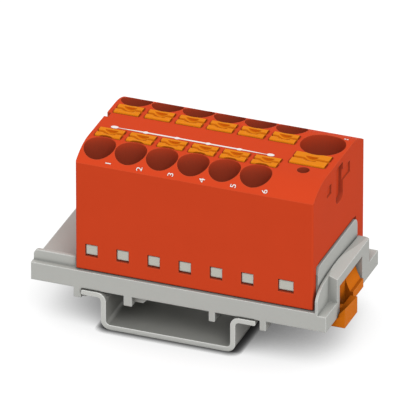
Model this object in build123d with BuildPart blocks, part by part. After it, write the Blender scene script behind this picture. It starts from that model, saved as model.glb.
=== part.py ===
from build123d import *
import os

# A push-in power distribution block on a rail adapter, snapped on a short length of mounting rail.
# Millimetres. The origin is the middle of the rail's underside, +Z is up, X runs across the rail
# along the block's length, Y runs along the rail, and -Y is the front.

# Mounting rail: the standard 35 mm by 7.5 mm top-hat section
RAIL_HALF = 17.5
RAIL_WEB_HALF = 13.5
RAIL_HEIGHT = 7.5
RAIL_SHEET = 1.0
RAIL_BEND = 0.8
RAIL_EDGE = 0.3
RAIL_HALF_LENGTH = 14.6

# Rail adapter: base plate, rims, feet and the frame at its right end
BASE_X = (-27.7, 31.5)
BASE_Y = 14.3
BASE_Z = 7.7
LEDGE_Z = 11.35
FLOOR_Z = 11.0
FLOOR_UNDER = 9.6
WALL = 1.3
RIB = 1.2
SINK = 0.5
RIM_Y = (12.3, 13.05)
RIM_X = (-27.6, 27.3)
RIM_Z = 13.5
RIM_ROOT = 0.4
RIM_END_R = 1.0
FOOT_Z = 5.65
LEGS = ((-19.1, -17.6), (-9.0, -7.4), (8.1, 9.3))
SEATS = ((-16.6, -15.4), (15.4, 16.6))
SEAT_GAP = 0.05
GUARD = (18.3, 19.5)
HOOK_REACH = (0.6, 1.3)
HOOK_SIDE = 0.8
HOOK_LEAD = 0.4
GUSSET_RUN = (1.9, 2.6)
GUSSET_RISE = (0.55, 1.3)
GUSSET_SIDE = 1.7
GUSSET_HALF = 0.5
TAB_X = (28.3, 29.05)
TAB_Y = (-12.0, 9.5)
TAB_Z = 19.9
TAB_LEAD = (1.1, 1.7)
TAB_CORNERS = (0.3, 0.4, 1.7)
TAB_STEP = 0.9
FRAME_X = (29.3, 31.5)
FRAME_SKIN = 0.5
FRAME_POST_Y = (-8.15, 9.3)
FRAME_STEP_Z = 10.9
FRAME_REAR_Z = 10.65
FRAME_FRONT_Z = 13.9
FRAME_ARCH = ((-12.7, 15.4), (-9.4, 16.25), (-0.6, 16.55))
FRAME_END_Z = 16.0
FRAME_SLOPE_Z = (16.6, 15.8)
SLIDE_LEDGE_X = (20.2, 28.8)
SLIDE_LEDGE = 0.8

# Release latch, a slide that runs in the adapter along X
LATCH_Y = (-6.3, 5.1)
LATCH_PLATE_Z = (8.3, 9.5)
LATCH_LEG_X = (17.7, 19.2)
LATCH_LEG_CHAMFER = (0.4, 0.3)
LATCH_NOSE_X = 16.4
LATCH_NOSE_LEAD = (0.6, 0.4)
LATCH_NOSE_SIDE = 0.9
LATCH_BLOCK_X = 29.0
LATCH_PLATE_END_X = 30.4
LATCH_END_X = 31.9
LATCH_FACE_X = 33.0
LATCH_CLEAR = 0.1
FOOT_WALL_X = 31.6
FOOT_TOPS = ((-8.0, 8.15, 9.8), (-5.05, 9.05, 9.45), (-1.2, 9.0, 9.0))
POCKET_BACK_X = (29.9, 30.3)
POCKET_Y = (-5.05, -0.5)
POCKET_FRONT_Y = -6.6
POCKET_FLOOR = 1.2
HEEL_X = 31.2
HEEL_Y = 0.1
RAMP_TOP = (30.1, 12.6)
RAMP_MIDDLE = (30.85, 10.35)
RAMP_END_Z = 8.4
LATCH_OPENING_Y = (-6.8, 5.6)
LATCH_OPENING_Z = 13.85

# Housing shell
HOUSING_X = (-18.8, 28.7)
HOUSING_Y = 13.8
HOUSING_Z = 11.65
CORNER_R = 0.3
CREASE_Z = 34.1
ROOF_Z = 36.45
ROOF_FLAT = 7.0
SKIN = 1.2
SKIRT = 0.7

# Marker groove in the right end face and the grips beside it
MARKER_Y = (-1.5, 2.3)
MARKER_Z = (27.6, 35.2)
MARKER_END_R = 1.2
MARKER_DEPTH = 0.8
GRIPS = (((2.2, 6.1), (31.2, 33.6)), ((-6.4, -4.0), (31.6, 33.7)))
GRIP_DEPTH = 0.3
NOTCH_Y = (1.2, 2.9)
NOTCH_Z = 34.9
NOTCH_DEPTH = 0.8

# Terminals: six columns of outlets in two rows, and one infeed
COLUMNS = 6
PITCH = 6.25
FIRST_X = -15.45
ENTRY_Y = 9.7
ENTRY_R = 3.05
FUNNEL_WALL = 0.25
INFEED = (23.7, 5.0)
INFEED_R = 4.35
GUIDE_RISE = 3.4
GUIDE_SPREAD = 1.25
TEST_HOLE = (23.7, -5.7)
TEST_HOLE_R = 1.2
TEST_HOLE_Z = 17.5

# Push buttons and the shafts that guide them
BUTTON_SHIFT = 0.25
BUTTON_HALF = 2.5
BUTTON_Y = (3.1, 6.7)
BUTTON_Z = (24.0, 36.7)
INFEED_BUTTON_X = (20.15, 27.15)
INFEED_BUTTON_Y = (-3.9, 0.9)
GAP = 0.1
LUG = 0.5
LUG_TOP = 25.9
LUG_HALF = 1.2
INFEED_LUG_HALF = 1.7
SHAFT_FOOT = 22.4
RIDGE_EDGE = 0.3
GROOVE_HALF = 0.42
GROOVE_DEPTH = 0.8
HOLLOW_R = 2.0
HOLLOW_DEPTH = 0.5
HOLLOW_REACH = 0.95

# Clamp chambers, current bar and clamp springs
CHAMBER_HALF = 2.3
CHAMBER_Y = (3.4, 12.8)
CHAMBER_TOP = 25.0
INFEED_CHAMBER_FRONT = 0.3
CORING_Y = 1.4
CORNER_CORING_X = (20.3, 27.1)
CORNER_CORING_Y = 7.6
CORING_TOP = 33.0
BAR_Z = (14.6, 15.2)
BAR_Y = 11.3
BAR_ENDS = (1.7, 3.4)
NOSE_Y = 13.55
NOSE_TOP = 16.95
NOSE_BEND = 0.45
NOSE_HALF = 1.15
WINDOW_SHIFT = -0.2
WINDOW_HALF = 1.25
WINDOW_Z = (14.45, 17.05)
INFEED_WINDOW_X = 23.3
INFEED_WINDOW_HALF = 1.55
TONGUE_Y = (11.9, 12.4)
TONGUE_TOP = 21.5
SPRING_T = 0.4
SPRING_HALF = 1.6
SPRING_BEND = 0.8
SPRING_FOOT_Y = 10.6
SPRING_BACK_Y = 4.0
SPRING_BOW_Y = 6.4
SPRING_TIP = (10.9, 17.8)
INFEED_SPRING_HALF = 2.6
INFEED_SPRING_BEND = 1.6
INFEED_SPRING_FOOT_Y = 9.4
INFEED_SPRING_BACK_Y = -3.2
INFEED_SPRING_BOW_Y = 0.4
INFEED_SPRING_TIP = (7.6, 17.6)

columns = [FIRST_X + PITCH * i for i in range(COLUMNS)]
entries = [(x, side * ENTRY_Y) for side in (-1, 1) for x in columns]
latch_mid = sum(LATCH_Y) / 2
infeed_mid = sum(INFEED_BUTTON_X) / 2
chambers = [(x - CHAMBER_HALF, x + CHAMBER_HALF) for x in columns]
chambers.append((INFEED_BUTTON_X[0] - GAP, INFEED_BUTTON_X[1] + GAP))


def rect(xs, ys, mode=Mode.ADD):
    """Rectangle between two limits along each axis of the current sketch."""
    with Locations((sum(xs) / 2, sum(ys) / 2)):
        Rectangle(abs(xs[1] - xs[0]), abs(ys[1] - ys[0]), mode=mode)


def mirrored(side, ys):
    """Limits along Y on one side of the middle plane, lower one first."""
    return tuple(sorted(side * y for y in ys))


def save(part, name):
    """Label a finished piece and write it."""
    part.label = name
    export_step(part, f"parts/{name}.step")


os.makedirs("parts", exist_ok=True)

# Rail section: one bent sheet, extruded along the rail
with BuildPart() as rail_section:
    inner_half = RAIL_WEB_HALF - RAIL_SHEET
    lip_z = RAIL_HEIGHT - RAIL_SHEET
    outside_bend = RAIL_BEND + RAIL_SHEET
    with BuildSketch(Plane.XZ) as hat:
        with BuildLine():
            FilletPolyline(
                (-RAIL_HALF, lip_z),
                (-RAIL_WEB_HALF, lip_z),
                (-RAIL_WEB_HALF, 0),
                (RAIL_WEB_HALF, 0),
                (RAIL_WEB_HALF, lip_z),
                (RAIL_HALF, lip_z),
                (RAIL_HALF, RAIL_HEIGHT),
                (inner_half, RAIL_HEIGHT),
                (inner_half, RAIL_SHEET),
                (-inner_half, RAIL_SHEET),
                (-inner_half, RAIL_HEIGHT),
                (-RAIL_HALF, RAIL_HEIGHT),
                radius=[
                    RAIL_EDGE, RAIL_BEND, outside_bend, outside_bend, RAIL_BEND, RAIL_EDGE,
                    RAIL_EDGE, outside_bend, RAIL_BEND, RAIL_BEND, outside_bend, RAIL_EDGE,
                ],
                close=True,
            )
        make_face()
    extrude(amount=RAIL_HALF_LENGTH, both=True)
save(rail_section.part, "rail_section")

# Rail adapter: one moulding
with BuildPart() as rail_adapter:
    # Base plate with its floor let in a little below the ledges
    with BuildSketch(Plane.XY.offset(BASE_Z)):
        rect((BASE_X[0], FRAME_X[0]), (-BASE_Y, BASE_Y))
    extrude(amount=LEDGE_Z - BASE_Z)
    with BuildSketch(Plane.XY.offset(FLOOR_Z)):
        rect((BASE_X[0], TAB_X[0] - TAB_STEP), (-RIM_Y[1], RIM_Y[1]))
    extrude(amount=LEDGE_Z - FLOOR_Z, mode=Mode.SUBTRACT)

    # Hollow underside, with ribs left standing across the rail's direction and beside the slide
    inside_y = BASE_Y - WALL
    inside_x = (BASE_X[0] + WALL, FRAME_X[0] - WALL)
    slide_y = (LATCH_Y[0] - LATCH_CLEAR, LATCH_Y[1] + LATCH_CLEAR)
    with BuildSketch(Plane.XY.offset(BASE_Z)):
        rect(inside_x, (-inside_y, inside_y))
        for leg in LEGS:
            rect(leg, (-inside_y, inside_y), mode=Mode.SUBTRACT)
        for edge, outward in ((slide_y[0], -RIB), (slide_y[1], RIB)):
            rect((LEGS[2][1], inside_x[1]), (edge, edge + outward), mode=Mode.SUBTRACT)
            rect((inside_x[0], LEGS[1][0]), (edge, edge + outward), mode=Mode.SUBTRACT)
        rect(GUARD, (-inside_y, slide_y[0]), mode=Mode.SUBTRACT)
        rect(GUARD, (slide_y[1], inside_y), mode=Mode.SUBTRACT)
        for seat in SEATS:
            rect(seat, (slide_y[1], inside_y), mode=Mode.SUBTRACT)
            rect(seat, (-inside_y, slide_y[0]), mode=Mode.SUBTRACT)
    extrude(amount=FLOOR_UNDER - BASE_Z, mode=Mode.SUBTRACT)

    # Seats that rest on the rail's lips
    seat_z = RAIL_HEIGHT + SEAT_GAP
    with BuildSketch(Plane.XY.offset(seat_z)):
        for seat in SEATS:
            rect(seat, (slide_y[1] + RIB, inside_y - WALL))
            rect(seat, (-inside_y + WALL, slide_y[0] - RIB))
    extrude(amount=BASE_Z + RIB - seat_z)

    # Feet that stand in and around the rail, the left one with a fixed nose under the lip
    with BuildSketch(Plane.XY.offset(FOOT_Z)):
        for leg in LEGS:
            rect(leg, (-BASE_Y, BASE_Y))
        rect(GUARD, (-BASE_Y, slide_y[0] - RIB))
        rect(GUARD, (slide_y[1] + RIB, BASE_Y))
    extrude(amount=BASE_Z - FOOT_Z + SINK)
    hook_root = LEGS[0][0] + SINK / 2
    hook_face = LEGS[0][1]
    hook_top = RAIL_HEIGHT - RAIL_SHEET - LATCH_CLEAR
    with BuildSketch(Plane.XZ):
        with BuildLine():
            Polyline(
                (hook_root, FOOT_Z),
                (hook_face + HOOK_REACH[0], FOOT_Z),
                (hook_face + HOOK_REACH[1], FOOT_Z + HOOK_LEAD),
                (hook_face + HOOK_REACH[1], hook_top),
                (hook_root, hook_top),
                close=True,
            )
        make_face()
    extrude(amount=BASE_Y - HOOK_SIDE, both=True)

    # Two gussets behind the second foot
    gusset_x = LEGS[1][1]
    for side in (-1, 1):
        with BuildSketch(Plane.XZ.offset(-side * (BASE_Y - GUSSET_SIDE))):
            with BuildLine():
                Polyline(
                    (gusset_x - SINK, FLOOR_UNDER),
                    (gusset_x - SINK, FOOT_Z + GUSSET_RISE[0]),
                    (gusset_x + GUSSET_RUN[0], FOOT_Z + GUSSET_RISE[0]),
                    (gusset_x + GUSSET_RUN[1], FOOT_Z + GUSSET_RISE[1]),
                    (gusset_x + GUSSET_RUN[1], FLOOR_UNDER),
                    close=True,
                )
            make_face()
        extrude(amount=GUSSET_HALF, both=True)

    # Rims that the housing's skirt drops over
    for side in (-1, 1):
        with BuildSketch(Plane.XZ.offset(-side * sum(RIM_Y) / 2)) as rim:
            rect(RIM_X, (FLOOR_Z - RIM_ROOT, RIM_Z))
            fillet(rim.vertices().group_by(Axis.X)[0].sort_by(Axis.Y)[-1], radius=RIM_END_R)
        extrude(amount=(RIM_Y[1] - RIM_Y[0]) / 2, both=True)

    # Tongue that locks in the recess of the housing's end face
    with BuildSketch(Plane.YZ.offset(TAB_X[0])):
        with BuildLine():
            FilletPolyline(
                (TAB_Y[0], FLOOR_UNDER),
                (TAB_Y[0], TAB_Z - TAB_LEAD[1]),
                (TAB_Y[0] + TAB_LEAD[0], TAB_Z),
                (TAB_Y[1], TAB_Z),
                (TAB_Y[1], FLOOR_UNDER),
                radius=TAB_CORNERS,
            )
            Line((TAB_Y[1], FLOOR_UNDER), (TAB_Y[0], FLOOR_UNDER))
        make_face()
    extrude(amount=TAB_X[1] - TAB_X[0])

    # End frame: an arched wall, stepped down at the front and at the rear
    with BuildSketch(Plane.YZ.offset(FRAME_X[0])):
        with BuildLine():
            Polyline(
                (FRAME_POST_Y[1], FRAME_END_Z),
                (FRAME_POST_Y[1], FRAME_REAR_Z),
                (BASE_Y, FRAME_REAR_Z),
                (BASE_Y, BASE_Z),
                (-BASE_Y, BASE_Z),
                (-BASE_Y, FRAME_FRONT_Z),
            )
            Spline((-BASE_Y, FRAME_FRONT_Z), *FRAME_ARCH, (FRAME_POST_Y[1], FRAME_END_Z))
        make_face()
    extrude(amount=FRAME_X[1] - FRAME_X[0])
    with BuildSketch(Plane.XY.offset(FRAME_STEP_Z)):
        rect((FRAME_X[0] + FRAME_SKIN, FRAME_X[1] + 1), (-BASE_Y - 1, FRAME_POST_Y[0]))
    extrude(amount=TAB_Z - FRAME_STEP_Z, mode=Mode.SUBTRACT)
    with BuildSketch(Plane.XZ):
        with BuildLine():
            Polyline(
                (FRAME_X[0], FRAME_SLOPE_Z[0]),
                (FRAME_X[1], FRAME_SLOPE_Z[1]),
                (FRAME_X[1], TAB_Z),
                (FRAME_X[0], TAB_Z),
                close=True,
            )
        make_face()
    extrude(amount=BASE_Y, both=True, mode=Mode.SUBTRACT)

    # Opening for the latch's foot, and the slide's way in under the frame
    with BuildSketch(Plane.YZ.offset(FRAME_X[0] + FRAME_SKIN)):
        rect(LATCH_OPENING_Y, (BASE_Z - 1, LATCH_OPENING_Z))
    extrude(amount=FRAME_X[1] - FRAME_X[0], mode=Mode.SUBTRACT)
    with BuildSketch(Plane.XY.offset(BASE_Z)):
        rect((inside_x[1] - 1, FRAME_X[1]), slide_y)
    extrude(amount=FLOOR_UNDER - BASE_Z, mode=Mode.SUBTRACT)

    # Ledges that carry the slide's edges
    with BuildSketch(Plane.XY.offset(BASE_Z)):
        rect(SLIDE_LEDGE_X, (slide_y[0] - SINK, slide_y[0] + SLIDE_LEDGE))
        rect(SLIDE_LEDGE_X, (slide_y[1] - SLIDE_LEDGE, slide_y[1] + SINK))
    extrude(amount=LATCH_PLATE_Z[0] - LATCH_CLEAR - BASE_Z)
save(rail_adapter.part, "rail_adapter")

# Release latch: slide plate, hook under the rail's lip, ramp and foot with a screwdriver pocket
with BuildPart() as release_latch:
    with BuildSketch(Plane.XY.offset(LATCH_PLATE_Z[0])):
        rect((LATCH_LEG_X[0], LATCH_PLATE_END_X), LATCH_Y)
    extrude(amount=LATCH_PLATE_Z[1] - LATCH_PLATE_Z[0])
    leg_root = LATCH_PLATE_Z[0] + SINK
    nose_top = RAIL_HEIGHT - RAIL_SHEET - LATCH_CLEAR
    with BuildSketch(Plane.XZ.offset(-latch_mid)):
        with BuildLine():
            Polyline(
                (LATCH_LEG_X[1], leg_root),
                (LATCH_LEG_X[1], FOOT_Z + LATCH_LEG_CHAMFER[1]),
                (LATCH_LEG_X[1] - LATCH_LEG_CHAMFER[0], FOOT_Z),
                (LATCH_LEG_X[0] - LATCH_NOSE_LEAD[0], FOOT_Z),
                (LATCH_NOSE_X, FOOT_Z + LATCH_NOSE_LEAD[1]),
                (LATCH_NOSE_X, nose_top),
                (LATCH_LEG_X[0], nose_top),
                (LATCH_LEG_X[0], leg_root),
                close=True,
            )
        make_face()
    extrude(amount=(LATCH_Y[1] - LATCH_Y[0]) / 2 - LATCH_NOSE_SIDE, both=True)

    # Outer end of the slide: the pocket's back wall, and a ramp at its rear half
    foot_top = BASE_Z - LATCH_CLEAR
    with BuildSketch(Plane.XY.offset(foot_top)):
        rect((LATCH_BLOCK_X, POCKET_BACK_X[1]), LATCH_Y)
        rect((LATCH_BLOCK_X, LATCH_END_X), (POCKET_Y[1], LATCH_Y[1]))
    extrude(amount=LATCH_PLATE_Z[1] - LATCH_CLEAR - foot_top)
    with BuildSketch(Plane.XY.offset(foot_top)):
        rect(POCKET_BACK_X, LATCH_Y)
    extrude(amount=RAMP_TOP[1] - foot_top)
    with BuildSketch(Plane.XZ.offset(-LATCH_Y[1])):
        with BuildLine():
            ThreePointArc(RAMP_TOP, RAMP_MIDDLE, (LATCH_END_X, RAMP_END_Z))
            Polyline(
                (LATCH_END_X, RAMP_END_Z),
                (LATCH_END_X, foot_top),
                (POCKET_BACK_X[0], foot_top),
                (POCKET_BACK_X[0], RAMP_TOP[1]),
                RAMP_TOP,
            )
        make_face()
    extrude(amount=LATCH_Y[1] - POCKET_Y[1])

    # Foot below the base with the pocket's front wall and the pocket itself
    with BuildSketch(Plane.XY.offset(FOOT_Z)):
        rect((POCKET_BACK_X[0], LATCH_FACE_X), (FOOT_TOPS[0][0], FOOT_TOPS[-1][0]))
        rect((POCKET_BACK_X[0], HEEL_X), (FOOT_TOPS[-1][0], HEEL_Y))
    extrude(amount=foot_top - FOOT_Z)
    with BuildSketch(Plane.XY.offset(FOOT_Z)):
        rect((POCKET_BACK_X[0], FOOT_WALL_X), (POCKET_FRONT_Y, POCKET_Y[1]))
    extrude(amount=FOOT_TOPS[1][1] - FOOT_Z)
    with BuildSketch(Plane.XY.offset(FOOT_Z + POCKET_FLOOR)):
        rect((POCKET_BACK_X[1], FOOT_WALL_X), POCKET_Y)
    extrude(amount=RAMP_TOP[1] - FOOT_Z, mode=Mode.SUBTRACT)

    # Outer wall of the foot, its top edge falling towards the pocket at the front
    for y, inner_z, outer_z in FOOT_TOPS:
        with BuildSketch(Plane.XZ.offset(-y)):
            with BuildLine():
                Polyline(
                    (FOOT_WALL_X, FOOT_Z),
                    (LATCH_FACE_X, FOOT_Z),
                    (LATCH_FACE_X, outer_z),
                    (FOOT_WALL_X, inner_z),
                    close=True,
                )
            make_face()
    loft(ruled=True)
save(release_latch.part, "release_latch")


# Mould cores of the conductor entries: round mouths whose flanks slope in to the chambers' width
with BuildPart() as entry_cores:
    core_foot = CHAMBER_TOP - SINK
    with BuildSketch(Plane.XY.offset(core_foot)):
        with Locations(*entries):
            Circle(ENTRY_R)
        with Locations(INFEED):
            Circle(INFEED_R)
    extrude(amount=ROOF_Z + 1 - core_foot)
    with BuildSketch(Plane.XZ):
        for left, right in chambers:
            with BuildLine():
                Polyline(
                    (left, core_foot),
                    (left, CHAMBER_TOP),
                    (left - GUIDE_SPREAD, CHAMBER_TOP + GUIDE_RISE),
                    (left - GUIDE_SPREAD, ROOF_Z + 2),
                    (right + GUIDE_SPREAD, ROOF_Z + 2),
                    (right + GUIDE_SPREAD, CHAMBER_TOP + GUIDE_RISE),
                    (right, CHAMBER_TOP),
                    (right, core_foot),
                    close=True,
                )
            make_face()
    extrude(amount=HOUSING_Y, both=True, mode=Mode.INTERSECT)
    with BuildSketch(Plane.XY.offset(TEST_HOLE_Z)):
        with Locations(TEST_HOLE):
            Circle(TEST_HOLE_R)
    extrude(amount=ROOF_Z + 1 - TEST_HOLE_Z)

# Housing: one moulded shell with the terminals' shafts and chambers
with BuildPart() as housing:
    with BuildSketch(Plane.YZ.offset(HOUSING_X[0])):
        with BuildLine():
            Polyline(
                (-HOUSING_Y, CREASE_Z),
                (-HOUSING_Y, HOUSING_Z),
                (HOUSING_Y, HOUSING_Z),
                (HOUSING_Y, CREASE_Z),
            )
            TangentArc((ROOF_FLAT, ROOF_Z), (HOUSING_Y, CREASE_Z), tangent=(1, 0))
            TangentArc((-ROOF_FLAT, ROOF_Z), (-HOUSING_Y, CREASE_Z), tangent=(-1, 0))
            Line((-ROOF_FLAT, ROOF_Z), (ROOF_FLAT, ROOF_Z))
        make_face()
    extrude(amount=HOUSING_X[1] - HOUSING_X[0])
    fillet(housing.edges().filter_by(Axis.Z), radius=CORNER_R)

    # Open underside: a skirt around the adapter's rims, then the bay of the current bar
    shell_x = (HOUSING_X[0] + SKIN, HOUSING_X[1] - SKIN)
    skirt_y = HOUSING_Y - SKIRT
    shell_y = HOUSING_Y - SKIN
    with BuildSketch(Plane.XY.offset(HOUSING_Z)):
        rect(shell_x, (-skirt_y, skirt_y))
        for side in (-1, 1):
            rect((HOUSING_X[0], shell_x[0]), mirrored(side, (RIM_Y[0] - GAP, skirt_y)))
    extrude(amount=RIM_Z - HOUSING_Z, mode=Mode.SUBTRACT)
    with BuildSketch(Plane.XY.offset(RIM_Z)):
        rect(shell_x, (-shell_y, shell_y))
    extrude(amount=BAR_Z[1] - RIM_Z, mode=Mode.SUBTRACT)

    # Clamp chambers of the outlets and of the infeed
    with BuildSketch(Plane.XY.offset(BAR_Z[1])):
        for chamber_x in chambers[:-1]:
            for side in (-1, 1):
                rect(chamber_x, mirrored(side, CHAMBER_Y))
        rect(chambers[-1], (INFEED_BUTTON_Y[0] - INFEED_CHAMBER_FRONT, CHAMBER_Y[1]))
    extrude(amount=CHAMBER_TOP - BAR_Z[1], mode=Mode.SUBTRACT)

    # Coring of the thick middle and of the solid corner in front of the infeed
    with BuildSketch(Plane.XY.offset(BAR_Z[1])):
        for chamber_x in chambers[:-1]:
            rect(chamber_x, (-CORING_Y, CORING_Y))
        rect(CORNER_CORING_X, (-CHAMBER_Y[1], -CORNER_CORING_Y))
    extrude(amount=CORING_TOP - BAR_Z[1], mode=Mode.SUBTRACT)

    # Button shafts, with a pocket for the lug that holds each button in
    with BuildSketch(Plane.XY.offset(SHAFT_FOOT)) as shafts:
        for x in columns:
            for side in (-1, 1):
                middle = x + BUTTON_SHIFT
                shaft_x = (middle - BUTTON_HALF - GAP, middle + BUTTON_HALF + GAP)
                rect(shaft_x, mirrored(side, (BUTTON_Y[0] - GAP, BUTTON_Y[1] + GAP)))
        rect(
            (INFEED_BUTTON_X[0] - GAP, INFEED_BUTTON_X[1] + GAP),
            (INFEED_BUTTON_Y[0] - GAP, INFEED_BUTTON_Y[1] + GAP),
        )
        with Locations(*entries):
            Circle(ENTRY_R + FUNNEL_WALL, mode=Mode.SUBTRACT)
        with Locations(INFEED):
            Circle(INFEED_R + FUNNEL_WALL, mode=Mode.SUBTRACT)
    extrude(amount=ROOF_Z + 1 - SHAFT_FOOT, mode=Mode.SUBTRACT)
    with BuildSketch(Plane.XY.offset(SHAFT_FOOT)) as lug_pockets:
        for x in columns:
            for side in (-1, 1):
                middle = x + BUTTON_SHIFT
                lug_x = (middle - LUG_HALF - GAP, middle + LUG_HALF + GAP)
                rect(lug_x, mirrored(side, (BUTTON_Y[0] - LUG - GAP, BUTTON_Y[0] + GAP)))
        lug_x = (infeed_mid - INFEED_LUG_HALF - GAP, infeed_mid + INFEED_LUG_HALF + GAP)
        rect(lug_x, (INFEED_BUTTON_Y[0] - LUG - GAP, INFEED_BUTTON_Y[0]))
    extrude(amount=LUG_TOP + GAP - SHAFT_FOOT, mode=Mode.SUBTRACT)

    # Windows for the noses of the current bar, in the front and in the rear wall
    for side in (-1, 1):
        with BuildSketch(Plane.XZ.offset(-side * (HOUSING_Y - SKIN / 2))):
            for x in columns:
                middle = x + WINDOW_SHIFT
                rect((middle - WINDOW_HALF, middle + WINDOW_HALF), WINDOW_Z)
            rect(
                (INFEED_WINDOW_X - INFEED_WINDOW_HALF, INFEED_WINDOW_X + INFEED_WINDOW_HALF),
                WINDOW_Z,
            )
        extrude(amount=SKIN / 2 + GAP, both=True, mode=Mode.SUBTRACT)

    # Right end face: the recess of the adapter's tongue, the marker groove and its two side grips
    right = Plane.YZ.offset(HOUSING_X[1])
    with BuildSketch(right):
        rect((TAB_Y[0] - GAP, TAB_Y[1] + GAP), (HOUSING_Z - 1, TAB_Z + GAP))
    extrude(amount=-(HOUSING_X[1] - TAB_X[0] + GAP / 2), mode=Mode.SUBTRACT)
    with BuildSketch(right) as marker:
        rect(MARKER_Y, MARKER_Z)
        fillet(marker.vertices().group_by(Axis.Y)[0], radius=MARKER_END_R)
    extrude(amount=-MARKER_DEPTH, mode=Mode.SUBTRACT)
    with BuildSketch(right):
        for grip_y, grip_z in GRIPS:
            rect(grip_y, grip_z)
    extrude(amount=-GRIP_DEPTH, mode=Mode.SUBTRACT)

    # Left end face: the notch in its top edge
    with BuildSketch(Plane.YZ.offset(HOUSING_X[0])):
        rect(NOTCH_Y, (NOTCH_Z, ROOF_Z + 1))
    extrude(amount=NOTCH_DEPTH, mode=Mode.SUBTRACT)

    # Conductor entries and the test hole, cut last and all at once
    add(entry_cores.part, mode=Mode.SUBTRACT)
save(housing.part, "housing")

# Current bar: a plated strip with a curled nose and an upright tongue at each window
with BuildPart() as busbar:
    with BuildSketch(Plane.XY.offset(BAR_Z[0])):
        rect((FIRST_X - BAR_ENDS[0], INFEED_WINDOW_X + BAR_ENDS[1]), (-BAR_Y, BAR_Y))
    extrude(amount=BAR_Z[1] - BAR_Z[0])
    thickness = BAR_Z[1] - BAR_Z[0]
    noses = [(x + WINDOW_SHIFT, NOSE_HALF) for x in columns]
    noses.append((INFEED_WINDOW_X, INFEED_WINDOW_HALF - GAP))
    for side in (-1, 1):
        for middle, half in noses:
            with BuildSketch(Plane.YZ.offset(middle)) as nose:
                rect(mirrored(side, (BAR_Y - 1, NOSE_Y)), (BAR_Z[0], NOSE_TOP))
                fillet(nose.vertices().group_by(Axis.X)[-1 if side > 0 else 0], radius=NOSE_BEND)
                rect(
                    mirrored(side, (BAR_Y - 1, NOSE_Y - thickness)),
                    (BAR_Z[1], NOSE_TOP - thickness),
                    mode=Mode.SUBTRACT,
                )
                rect(mirrored(side, (BAR_Y - 1, TONGUE_Y[0])), (BAR_Z[1], NOSE_TOP), mode=Mode.SUBTRACT)
                rect(mirrored(side, TONGUE_Y), (NOSE_TOP - thickness, TONGUE_TOP))
            extrude(amount=half, both=True)
save(busbar.part, "busbar")


def push_button(name, xs, ys, side, entry, scoop_r, lug_half):
    """A push button: a straight shank with a holding lug, two ridges on top and a hollow in them."""
    middle = sum(xs) / 2
    half = (xs[1] - xs[0]) / 2
    low, high = BUTTON_Z
    groove = (ys[0] + ys[1]) / 2
    with BuildPart() as button:
        with BuildSketch(Plane.YZ.offset(middle)):
            with BuildLine():
                Polyline(
                    (side * ys[0], low),
                    (side * ys[0], high - RIDGE_EDGE),
                    (side * (ys[0] + RIDGE_EDGE), high),
                    (side * (groove - GROOVE_HALF), high),
                    (side * groove, high - GROOVE_DEPTH),
                    (side * (groove + GROOVE_HALF), high),
                    (side * (ys[1] - RIDGE_EDGE), high),
                    (side * ys[1], high - RIDGE_EDGE),
                    (side * ys[1], low),
                    close=True,
                )
            make_face()
        extrude(amount=half, both=True)
        with BuildSketch(Plane.XZ.offset(-side * groove)):
            with Locations((middle, high + HOLLOW_R - HOLLOW_DEPTH)):
                Circle(HOLLOW_R)
        extrude(amount=HOLLOW_REACH, both=True, mode=Mode.SUBTRACT)
        with BuildSketch(Plane.XY.offset(low)):
            with Locations(entry):
                Circle(scoop_r)
        extrude(amount=high + 1 - low, mode=Mode.SUBTRACT)
        with BuildSketch(Plane.XY.offset(low)):
            rect((middle - lug_half, middle + lug_half), mirrored(side, (ys[0] - LUG, ys[0] + LUG)))
        extrude(amount=LUG_TOP - low)
    save(button.part, name)


def clamp_spring(name, middle, half, side, route, bend):
    """A bent steel strip: a foot on the current bar, a back, a bow under the button and a leg."""
    with BuildPart() as spring:
        with BuildSketch(Plane.YZ.offset(middle)):
            with BuildLine():
                FilletPolyline(*[(side * y, z) for y, z in route], radius=bend)
            trace(line_width=SPRING_T)
        extrude(amount=half, both=True)
    save(spring.part, name)


def spring_route(foot_y, back_y, bow_y, tip):
    """The strip's middle line: along the current bar, up, over to the bow and down to the tip."""
    low = BAR_Z[1] + SPRING_T / 2
    high = BUTTON_Z[0] - SPRING_T / 2
    return ((foot_y, low), (back_y, low), (back_y, high), (bow_y, high), tip)


scoop_gap = FUNNEL_WALL + GAP
outlet_route = spring_route(SPRING_FOOT_Y, SPRING_BACK_Y, SPRING_BOW_Y, SPRING_TIP)
infeed_route = spring_route(
    INFEED_SPRING_FOOT_Y, INFEED_SPRING_BACK_Y, INFEED_SPRING_BOW_Y, INFEED_SPRING_TIP
)
number = 0
for side in (-1, 1):
    for x in columns:
        number += 1
        outlet_x = (x + BUTTON_SHIFT - BUTTON_HALF, x + BUTTON_SHIFT + BUTTON_HALF)
        entry = (x, side * ENTRY_Y)
        push_button(
            f"outlet_button_{number}", outlet_x, BUTTON_Y, side, entry, ENTRY_R + scoop_gap, LUG_HALF
        )
        clamp_spring(f"outlet_spring_{number}", x, SPRING_HALF, side, outlet_route, SPRING_BEND)
push_button(
    "infeed_button", INFEED_BUTTON_X, INFEED_BUTTON_Y, 1, INFEED, INFEED_R + scoop_gap, INFEED_LUG_HALF
)
clamp_spring("infeed_spring", infeed_mid, INFEED_SPRING_HALF, 1, infeed_route, INFEED_SPRING_BEND)
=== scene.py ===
import math

import bmesh
import bpy
from mathutils import Matrix, Vector


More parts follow.
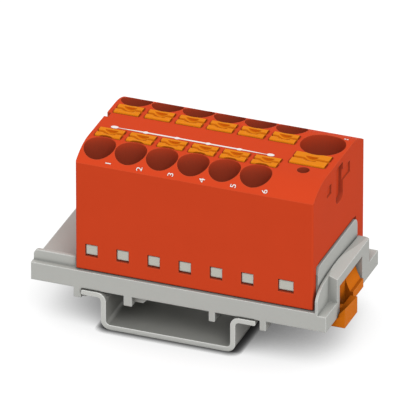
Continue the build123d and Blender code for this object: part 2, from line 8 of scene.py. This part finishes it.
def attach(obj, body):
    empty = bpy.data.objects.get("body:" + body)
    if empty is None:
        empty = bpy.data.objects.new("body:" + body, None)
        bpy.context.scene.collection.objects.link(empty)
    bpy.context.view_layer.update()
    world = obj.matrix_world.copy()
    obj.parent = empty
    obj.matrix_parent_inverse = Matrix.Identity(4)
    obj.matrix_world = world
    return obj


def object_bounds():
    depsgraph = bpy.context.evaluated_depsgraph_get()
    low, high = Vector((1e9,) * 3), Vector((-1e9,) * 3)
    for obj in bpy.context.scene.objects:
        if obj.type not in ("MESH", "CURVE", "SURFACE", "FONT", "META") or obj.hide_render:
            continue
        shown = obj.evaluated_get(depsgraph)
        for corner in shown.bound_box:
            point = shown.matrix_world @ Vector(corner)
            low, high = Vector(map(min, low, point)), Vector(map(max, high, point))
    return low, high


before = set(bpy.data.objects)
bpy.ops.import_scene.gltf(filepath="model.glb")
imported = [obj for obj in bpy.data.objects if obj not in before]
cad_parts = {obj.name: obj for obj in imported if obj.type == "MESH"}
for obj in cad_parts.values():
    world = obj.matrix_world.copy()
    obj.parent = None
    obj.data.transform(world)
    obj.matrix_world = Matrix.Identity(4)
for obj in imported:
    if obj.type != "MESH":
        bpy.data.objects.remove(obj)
cad_low, cad_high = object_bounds()

MM = 0.001
WHITE = (1.0, 1.0, 1.0, 1.0)
scene = bpy.context.scene
scene.view_settings.view_transform = "Standard"

# Camera: a long lens in front of the block's right half, a little above it.
# The picture is square; its side, the focal length and the aim pixel are in pixels.
PICTURE = 408
FOCAL_PIXELS = 11684.0
AIM_PIXEL = (216.5, 233.0)
AIM_POINT = Vector((4.0, 0.7, 16.0)) * MM
CAMERA_AZIMUTH = math.radians(20.64)
CAMERA_ELEVATION = math.radians(28.59)
CAMERA_DISTANCE = 2201.3 * MM
CLIP_NEAR = 0.1
CLIP_FAR = 20.0
SENSOR = 36.0

# Light
WORLD_STRENGTH = 0.62
SUN_STRENGTH = 1.36
SUN_ANGLE = math.radians(40)
SUN_FROM = Vector((0.18, -0.25, 0.38))

# Floor: what it throws on the part, what the camera sees of it, and the shadow painted on it from how open
# each point is
FLOOR_HALF = 3.0
FLOOR_DROP = 0.05 * MM
FLOOR_BOUNCE = (0.55, 0.55, 0.55, 1.0)
FLOOR_COLOUR = (0.12, 0.12, 0.12, 1.0)
FLOOR_LIFT = 0.98
FLOOR_SAMPLES = 32
SHADOW_REACH = 30.0 * MM
SHADOW_FALL = 2.2
CONTACT_REACH = 1.8 * MM
CONTACT_FALL = 5.0
CONTACT_LEAST = 0.07

# Plastic: how far the painted shade in gaps, seams between pieces and hollows reaches, and how dark the
# painted shade in a seam gets
GAP_REACH = 0.8 * MM
SEAM_REACH = 0.5 * MM
SEAM_SHADE = 0.04
HOLLOW_REACH = 9.0 * MM
PLASTIC_GLOSS_SPREAD = 0.05
PLASTIC_SPECULAR = 0.015

# Metal
METAL_EDGE = 0.3 * MM
METAL_HOLLOW_REACH = 6.0 * MM
METAL_GLOSS_SPREAD = 0.08
METAL_LINE_DEPTH = 0.15

# Roof of the housing, which carries the print
ROOF_Z = 36.45 * MM
ROOF_FLAT = 7.0 * MM
ROOF_RADIUS = 11.0 * MM
FIRST_COLUMN = -15.45 * MM
PITCH = 6.25 * MM
COLUMNS = 6
INK_LIFT = 0.01 * MM
INK_THICKNESS = 0.03 * MM

# White line of common potential, with a dot for each column
LINE_Y = -2.3 * MM
LINE_HALF_WIDTH = 0.2 * MM
LINE_HALF_DOT = (0.55 * MM, 0.42 * MM)
LINE_HALF_END = (0.75 * MM, 0.5 * MM)
LINE_DOT_SHIFT = 0.15 * MM
LINE_DOT_POINTS = 12

# Position digits, one by each front outlet
DIGIT_Y = -13.05 * MM
DIGIT_SHIFT = 3.0 * MM
DIGIT_SIZE = 1.6 * MM

# Short bar by the infeed
BAR_X = (26.75 * MM, 27.25 * MM)
BAR_Y = 8.75 * MM
BAR_HALF_WIDTH = 0.14 * MM
BAR_HALF_END = (0.2 * MM, 0.2 * MM)
BAR_END_POINTS = 8


def make_camera():
    """The camera's axis goes through the middle of the picture, so it is turned off the aim point."""
    cos_e = math.cos(CAMERA_ELEVATION)
    back = Vector((
        math.sin(CAMERA_AZIMUTH) * cos_e,
        -math.cos(CAMERA_AZIMUTH) * cos_e,
        math.sin(CAMERA_ELEVATION),
    ))
    right = Vector((math.cos(CAMERA_AZIMUTH), math.sin(CAMERA_AZIMUTH), 0.0))
    up = back.cross(right)
    middle = PICTURE / 2
    forward = -back
    forward += right * ((middle - AIM_PIXEL[0]) / FOCAL_PIXELS)
    forward -= up * ((middle - AIM_PIXEL[1]) / FOCAL_PIXELS)
    data = bpy.data.cameras.new("camera")
    data.sensor_width = SENSOR
    data.lens = FOCAL_PIXELS * SENSOR / PICTURE
    data.clip_start = CLIP_NEAR
    data.clip_end = CLIP_FAR
    camera = bpy.data.objects.new("camera", data)
    scene.collection.objects.link(camera)
    camera.location = AIM_POINT + back * CAMERA_DISTANCE
    camera.rotation_euler = forward.to_track_quat("-Z", "Y").to_euler()
    scene.camera = camera


def backdrop_rays(tree):
    """1 for the rays that should find a white backdrop: the camera's, glossy ones and clear ones."""
    paths = tree.nodes.new("ShaderNodeLightPath")
    seen = paths.outputs["Is Camera Ray"]
    for kind in ("Is Glossy Ray", "Is Transmission Ray"):
        either = tree.nodes.new("ShaderNodeMath")
        either.operation = "MAXIMUM"
        tree.links.new(seen, either.inputs[0])
        tree.links.new(paths.outputs[kind], either.inputs[1])
        seen = either.outputs[0]
    return seen


def make_light():
    """An even white surround and one broad soft sun from above the front right."""
    world = bpy.data.worlds.new("studio")
    scene.world = world
    world.use_nodes = True
    tree = world.node_tree
    background = tree.nodes["Background"]
    background.inputs["Color"].default_value = WHITE
    strength = tree.nodes.new("ShaderNodeMath")
    strength.operation = "MAXIMUM"
    tree.links.new(backdrop_rays(tree), strength.inputs[0])
    strength.inputs[1].default_value = WORLD_STRENGTH
    tree.links.new(strength.outputs[0], background.inputs["Strength"])
    lamp = bpy.data.lights.new("key", "SUN")
    lamp.energy = SUN_STRENGTH
    lamp.angle = SUN_ANGLE
    key = bpy.data.objects.new("key", lamp)
    key.rotation_euler = SUN_FROM.to_track_quat("Z", "Y").to_euler()
    scene.collection.objects.link(key)


class Nodes:
    """A material's node tree, with short ways to add and join nodes."""

    def __init__(self, name):
        self.material = bpy.data.materials.new(name)
        self.material.use_nodes = True
        self.tree = self.material.node_tree
        self.shader = self.tree.nodes["Principled BSDF"]

    def add(self, kind, operation=None, **values):
        node = self.tree.nodes.new("ShaderNode" + kind)
        if operation:
            node.operation = operation
        for key, value in values.items():
            node.inputs[key].default_value = value
        return node

    def join(self, output, target):
        self.tree.links.new(output, target)

    def feed(self, value, target, channels=4):
        """Join an output to a socket, or set a colour on it."""
        if hasattr(value, "is_linked"):
            self.join(value, target)
        else:
            target.default_value = value[:channels]

    def spread(self, output, from_min, from_max, to_min, to_max):
        """Map one range of a value to another, held at both ends."""
        node = self.add("MapRange")
        node.inputs["From Min"].default_value = from_min
        node.inputs["From Max"].default_value = from_max
        node.inputs["To Min"].default_value = to_min
        node.inputs["To Max"].default_value = to_max
        self.join(output, node.inputs["Value"])
        return node.outputs["Result"]

    def flipped(self, value):
        """1 less a value."""
        return self.spread(value, 0.0, 1.0, 1.0, 0.0)

    def noise(self, scale, detail, stretch=(1.0, 1.0, 1.0)):
        """Noise in the object's own coordinates."""
        place = self.add("TexCoord")
        mapping = self.add("Mapping", Scale=stretch)
        self.join(place.outputs["Object"], mapping.inputs["Vector"])
        node = self.add("TexNoise", Scale=scale, Detail=detail)
        self.join(mapping.outputs["Vector"], node.inputs["Vector"])
        return node.outputs["Fac"]

    def mix(self, factor, first, second):
        """Blend two colours; each is a colour or an output."""
        node = self.add("Mix")
        node.data_type = "RGBA"
        self.join(factor, node.inputs["Factor"])
        self.feed(first, node.inputs["A"])
        self.feed(second, node.inputs["B"])
        return node.outputs["Result"]

    def scaled(self, colour, factor):
        """A colour times a value."""
        node = self.add("VectorMath", "SCALE")
        self.feed(colour, node.inputs[0], channels=3)
        self.join(factor, node.inputs["Scale"])
        return node.outputs["Vector"]

    def product(self, first, second):
        node = self.add("Math", "MULTIPLY")
        self.join(first, node.inputs[0])
        self.join(second, node.inputs[1])
        return node.outputs[0]

    def power(self, value, exponent):
        node = self.add("Math", "POWER")
        self.join(value, node.inputs[0])
        node.inputs[1].default_value = exponent
        return node.outputs[0]

    def openness(self, distance, samples=8, alone=False):
        """How far a point is open to its surroundings or, alone, to its own piece; 1 if nothing is near."""
        node = self.add("AmbientOcclusion", Distance=distance)
        node.samples = samples
        node.only_local = alone
        return node.outputs["AO"]

    def rounded(self, radius):
        """Normal rounded over the edges."""
        node = self.add("Bevel", Radius=radius)
        node.samples = 6
        return node.outputs["Normal"]

    def edge_mask(self, normal):
        """1 on edges, where the rounded normal leaves the true one."""
        geometry = self.add("NewGeometry")
        match = self.add("VectorMath", "DOT_PRODUCT")
        self.join(geometry.outputs["Normal"], match.inputs[0])
        self.join(normal, match.inputs[1])
        return self.spread(match.outputs["Value"], 0.99, 0.84, 0.0, 1.0)

    def facing(self, axis):
        """1 on the faces that are square to an axis."""
        geometry = self.add("NewGeometry")
        parts = self.add("SeparateXYZ")
        self.join(geometry.outputs["Normal"], parts.inputs[0])
        size = self.add("Math", "ABSOLUTE")
        self.join(parts.outputs[axis], size.inputs[0])
        return self.spread(size.outputs[0], 0.9, 0.97, 0.0, 1.0)

    def seam(self, distance, shade):
        """Painted shade: 1, and less close to another piece, down to the shade."""
        node = self.add("Math", "DIVIDE")
        self.join(self.openness(distance), node.inputs[0])
        self.join(self.openness(distance, alone=True), node.inputs[1])
        return self.spread(node.outputs[0], 0.7, 0.97, shade, 1.0)

    def bump(self, height, strength, normal):
        node = self.add("Bump", Strength=strength, Distance=0.01 * MM)
        self.join(height, node.inputs["Height"])
        self.join(normal, node.inputs["Normal"])
        self.join(node.outputs["Normal"], self.shader.inputs["Normal"])


def linear(red, green, blue):
    """Scene-linear colour of a display colour given in steps of 1/255."""
    steps = [c / 255 for c in (red, green, blue)]
    return [c / 12.92 if c <= 0.04045 else ((c + 0.055) / 1.055) ** 2.4 for c in steps] + [1.0]


def moulded_plastic(name, colour, edge_highlight, hollow_shade_colour, roughness, grain, grain_size, edge_width, gap):
    """Moulded plastic: fine grain, faint flow clouds, painted highlights on the edges, and painted shade in
    seams between pieces, in gaps and in hollows.

    gap holds the openness at which the painted shade in a gap is darkest, the openness at which it ends,
    and its shade.
    """
    closed, clear, gap_shade = gap
    nodes = Nodes(name)
    nodes.shader.inputs["Specular IOR Level"].default_value = PLASTIC_SPECULAR
    rounded = nodes.rounded(edge_width)
    gaps = nodes.openness(GAP_REACH)
    clouds = nodes.spread(nodes.noise(160.0, 3.0), 0.0, 1.0, 0.97, 1.03)
    body = nodes.scaled(colour, clouds)
    # Painted highlight: open outer edges take the lighter edge colour.
    edge_highlight_mask = nodes.product(nodes.edge_mask(rounded), nodes.spread(gaps, 0.80, 0.95, 0.0, 1.0))
    body = nodes.mix(edge_highlight_mask, body, edge_highlight)
    # Painted shade where another piece is close.
    body = nodes.scaled(body, nodes.seam(SEAM_REACH, SEAM_SHADE))
    # Painted shade in narrow gaps and creases.
    body = nodes.scaled(body, nodes.spread(gaps, closed, clear, gap_shade, 1.0))
    # Painted shade: deep hollows blend towards the darker hollow colour.
    out_of_hollow = nodes.spread(nodes.openness(HOLLOW_REACH), 0.4, 0.8, 0.0, 1.0)
    body = nodes.mix(out_of_hollow, hollow_shade_colour, body)
    nodes.join(body, nodes.shader.inputs["Base Color"])
    skin = nodes.noise(1.0 / grain_size, 2.0)
    gloss = nodes.spread(
        skin, 0.0, 1.0, roughness - PLASTIC_GLOSS_SPREAD, roughness + PLASTIC_GLOSS_SPREAD
    )
    nodes.join(gloss, nodes.shader.inputs["Roughness"])
    nodes.bump(skin, grain, rounded)
    return nodes.material


def drawn_metal(name, colour, cut, edge_highlight, roughness, along, metallic, hollow_shade):
    """Sheet metal: fine lines along one axis, a soft mottle in its plating, pale cuts, painted highlights
    on its edges and painted shade in its hollows.
    """
    nodes = Nodes(name)
    nodes.shader.inputs["Metallic"].default_value = metallic
    rounded = nodes.rounded(METAL_EDGE)
    mottle = nodes.spread(nodes.noise(350.0, 2.0), 0.0, 1.0, 0.94, 1.05)
    body = nodes.mix(nodes.facing("Y"), nodes.scaled(colour, mottle), cut)
    # Painted highlight along the edges.
    body = nodes.mix(nodes.edge_mask(rounded), body, edge_highlight)
    # Painted shade in hollows, on faces that look up or down only.
    shade = nodes.spread(nodes.openness(METAL_HOLLOW_REACH), 0.2, 0.8, hollow_shade, 1.0)
    body = nodes.mix(nodes.facing("Z"), body, nodes.scaled(body, shade))
    nodes.join(body, nodes.shader.inputs["Base Color"])
    lines = nodes.noise(1500.0, 3.0, along)
    gloss = nodes.spread(
        lines, 0.0, 1.0, roughness - METAL_GLOSS_SPREAD, roughness + METAL_GLOSS_SPREAD
    )
    nodes.join(gloss, nodes.shader.inputs["Roughness"])
    nodes.bump(lines, METAL_LINE_DEPTH, rounded)
    return nodes.material


def ink():
    """White printing ink, a little uneven in cover."""
    nodes = Nodes("white_ink")
    nodes.shader.inputs["Roughness"].default_value = 0.55
    nodes.shader.inputs["Specular IOR Level"].default_value = 0.2
    cover = nodes.mix(nodes.noise(1800.0, 2.0), linear(244, 232, 226), linear(255, 252, 250))
    nodes.join(cover, nodes.shader.inputs["Base Color"])
    return nodes.material


def make_floor():
    """A pale floor just under the rail; what the camera sees of it is white apart from a painted shadow,
    darker where less of it is open.
    """
    mesh = bpy.data.meshes.new("floor")
    corners = [(-1, -1), (1, -1), (1, 1), (-1, 1)]
    mesh.from_pydata([(x * FLOOR_HALF, y * FLOOR_HALF, 0.0) for x, y in corners], [], [(0, 1, 2, 3)])
    floor = bpy.data.objects.new("floor", mesh)
    floor.location.z = cad_low.z - FLOOR_DROP
    scene.collection.objects.link(floor)
    nodes = Nodes("floor_paper")
    nodes.shader.inputs["Roughness"].default_value = 0.9
    nodes.shader.inputs["Specular IOR Level"].default_value = 0.0
    # Painted shadow: a broad one where the block is over the floor and a tight one where the rail meets it;
    # it darkens both the seen colour and the white glow.
    covered = nodes.flipped(nodes.openness(SHADOW_REACH, FLOOR_SAMPLES))
    shadow = nodes.flipped(nodes.power(covered, SHADOW_FALL))
    near = nodes.power(nodes.openness(CONTACT_REACH, FLOOR_SAMPLES), CONTACT_FALL)
    contact_shadow = nodes.spread(near, 0.0, 1.0, CONTACT_LEAST, 1.0)
    painted_shadow = nodes.product(shadow, contact_shadow)
    seen = backdrop_rays(nodes.tree)
    body = nodes.mix(seen, FLOOR_BOUNCE, nodes.scaled(FLOOR_COLOUR, painted_shadow))
    nodes.join(body, nodes.shader.inputs["Base Color"])
    lift = nodes.spread(seen, 0.0, 1.0, 0.0, FLOOR_LIFT)
    nodes.shader.inputs["Emission Color"].default_value = WHITE
    nodes.join(nodes.product(lift, painted_shadow), nodes.shader.inputs["Emission Strength"])
    mesh.materials.append(nodes.material)


def paint(names, material):
    """Give CAD nodes their finish."""
    for name in names:
        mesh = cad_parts[name].data
        mesh.materials.clear()
        mesh.materials.append(material)


def roof_height(y):
    """Height of the housing's roof, flat in the middle and round towards the front and rear."""
    beyond = max(0.0, abs(y) - ROOF_FLAT)
    return ROOF_Z - ROOF_RADIUS + math.sqrt(ROOF_RADIUS ** 2 - beyond ** 2)


def finish_print(name, shape, material):
    """Lay a flat shape on the roof, give it the ink's thickness, and let it ride on the block."""
    bmesh.ops.recalc_face_normals(shape, faces=shape.faces)
    raised = bmesh.ops.extrude_face_region(shape, geom=shape.faces[:], use_keep_orig=True)
    for vert in shape.verts:
        vert.co.z = roof_height(vert.co.y) + INK_LIFT
    for vert in raised["geom"]:
        if isinstance(vert, bmesh.types.BMVert):
            vert.co.z += INK_THICKNESS
    bmesh.ops.recalc_face_normals(shape, faces=shape.faces)
    mesh = bpy.data.meshes.new(name)
    shape.to_mesh(mesh)
    shape.free()
    mesh.materials.append(material)
    piece = bpy.data.objects.new(name, mesh)
    scene.collection.objects.link(piece)
    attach(piece, "block")


def dotted_line(x_dots, y, half_width, half_dot, half_end, points):
    """One closed outline: a line that widens to an oval at each dot and at both ends."""
    upper = []
    for index, x in enumerate(x_dots):
        at_end = index in (0, len(x_dots) - 1)
        half_x, half_y = half_end if at_end else half_dot
        for step in range(points + 1):
            turn = math.pi * (1 - step / points)
            rise = half_y * math.sin(turn)
            if at_end or rise >= half_width:
                upper.append((x + half_x * math.cos(turn), y + rise))
    lower = [(x, 2 * y - v) for x, v in reversed(upper)]
    outline = upper + [p for p in lower if abs(p[1] - y) > 1e-9]
    shape = bmesh.new()
    shape.faces.new([shape.verts.new((x, v, 0.0)) for x, v in outline])
    return shape


def digit(text, x, y, size):
    """A plain digit turned a quarter, with its middle at x, y."""
    curve = bpy.data.curves.new("digit", "FONT")
    curve.body = text
    curve.size = size
    curve.align_x = "CENTER"
    curve.align_y = "CENTER"
    source = bpy.data.objects.new("digit", curve)
    mesh = bpy.data.meshes.new_from_object(source)
    mesh.transform(Matrix.Translation((x, y, 0.0)) @ Matrix.Rotation(math.radians(90), 4, "Z"))
    shape = bmesh.new()
    shape.from_mesh(mesh)
    bpy.data.objects.remove(source)
    return shape


make_camera()
make_light()
make_floor()

red = moulded_plastic(
    "red_moulding",
    colour=linear(220, 74, 38),
    edge_highlight=linear(232, 94, 58),
    hollow_shade_colour=linear(170, 70, 46),
    roughness=0.55,
    grain=0.25,
    grain_size=0.12 * MM,
    edge_width=0.25 * MM,
    gap=(0.4, 0.82, 0.35),
)
grey = moulded_plastic(
    "grey_moulding",
    colour=linear(196, 197, 192),
    edge_highlight=linear(240, 242, 238),
    hollow_shade_colour=linear(155, 156, 152),
    roughness=0.6,
    grain=0.25,
    grain_size=0.12 * MM,
    edge_width=0.35 * MM,
    gap=(0.4, 0.82, 0.25),
)
button = moulded_plastic(
    "button_moulding",
    colour=linear(238, 138, 24),
    edge_highlight=linear(252, 168, 56),
    hollow_shade_colour=linear(214, 112, 20),
    roughness=0.42,
    grain=0.15,
    grain_size=0.1 * MM,
    edge_width=0.18 * MM,
    gap=(0.5, 0.9, 0.45),
)
latch = moulded_plastic(
    "latch_moulding",
    colour=linear(228, 122, 22),
    edge_highlight=linear(236, 140, 50),
    hollow_shade_colour=linear(150, 78, 14),
    roughness=0.5,
    grain=0.2,
    grain_size=0.12 * MM,
    edge_width=0.2 * MM,
    gap=(0.35, 0.75, 0.5),
)
rail_metal = drawn_metal(
    "zinc_plate",
    colour=linear(162, 162, 157),
    cut=linear(204, 205, 200),
    edge_highlight=linear(246, 247, 243),
    roughness=0.42,
    along=(1.0, 0.05, 1.0),
    metallic=0.3,
    hollow_shade=0.4,
)
bar_metal = drawn_metal(
    "tin_plate",
    colour=linear(190, 190, 180),
    cut=linear(190, 190, 180),
    edge_highlight=linear(232, 232, 228),
    roughness=0.38,
    along=(0.1, 1.0, 1.0),
    metallic=0.5,
    hollow_shade=0.8,
)
spring_metal = drawn_metal(
    "spring_steel",
    colour=linear(176, 177, 178),
    cut=linear(190, 191, 192),
    edge_highlight=linear(210, 211, 212),
    roughness=0.35,
    along=(1.0, 0.1, 1.0),
    metallic=0.8,
    hollow_shade=0.8,
)
white = ink()

paint(["housing"], red)
paint(["rail_adapter"], grey)
paint(["release_latch"], latch)
paint(["rail_section"], rail_metal)
paint(["busbar"], bar_metal)
paint([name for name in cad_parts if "button" in name], button)
paint([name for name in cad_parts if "spring" in name], spring_metal)

columns = [FIRST_COLUMN + PITCH * i for i in range(COLUMNS)]
dots = [x + LINE_DOT_SHIFT for x in columns]
line = dotted_line(dots, LINE_Y, LINE_HALF_WIDTH, LINE_HALF_DOT, LINE_HALF_END, LINE_DOT_POINTS)
finish_print("roof_line", line, white)
for index, x in enumerate(columns):
    number = digit(str(index + 1), x + DIGIT_SHIFT, DIGIT_Y, DIGIT_SIZE)
    finish_print(f"position_{index + 1}", number, white)
# The bar has ends only, so it takes no size for dots between them
bar = dotted_line(BAR_X, BAR_Y, BAR_HALF_WIDTH, None, BAR_HALF_END, BAR_END_POINTS)
finish_print("infeed_mark", bar, white)
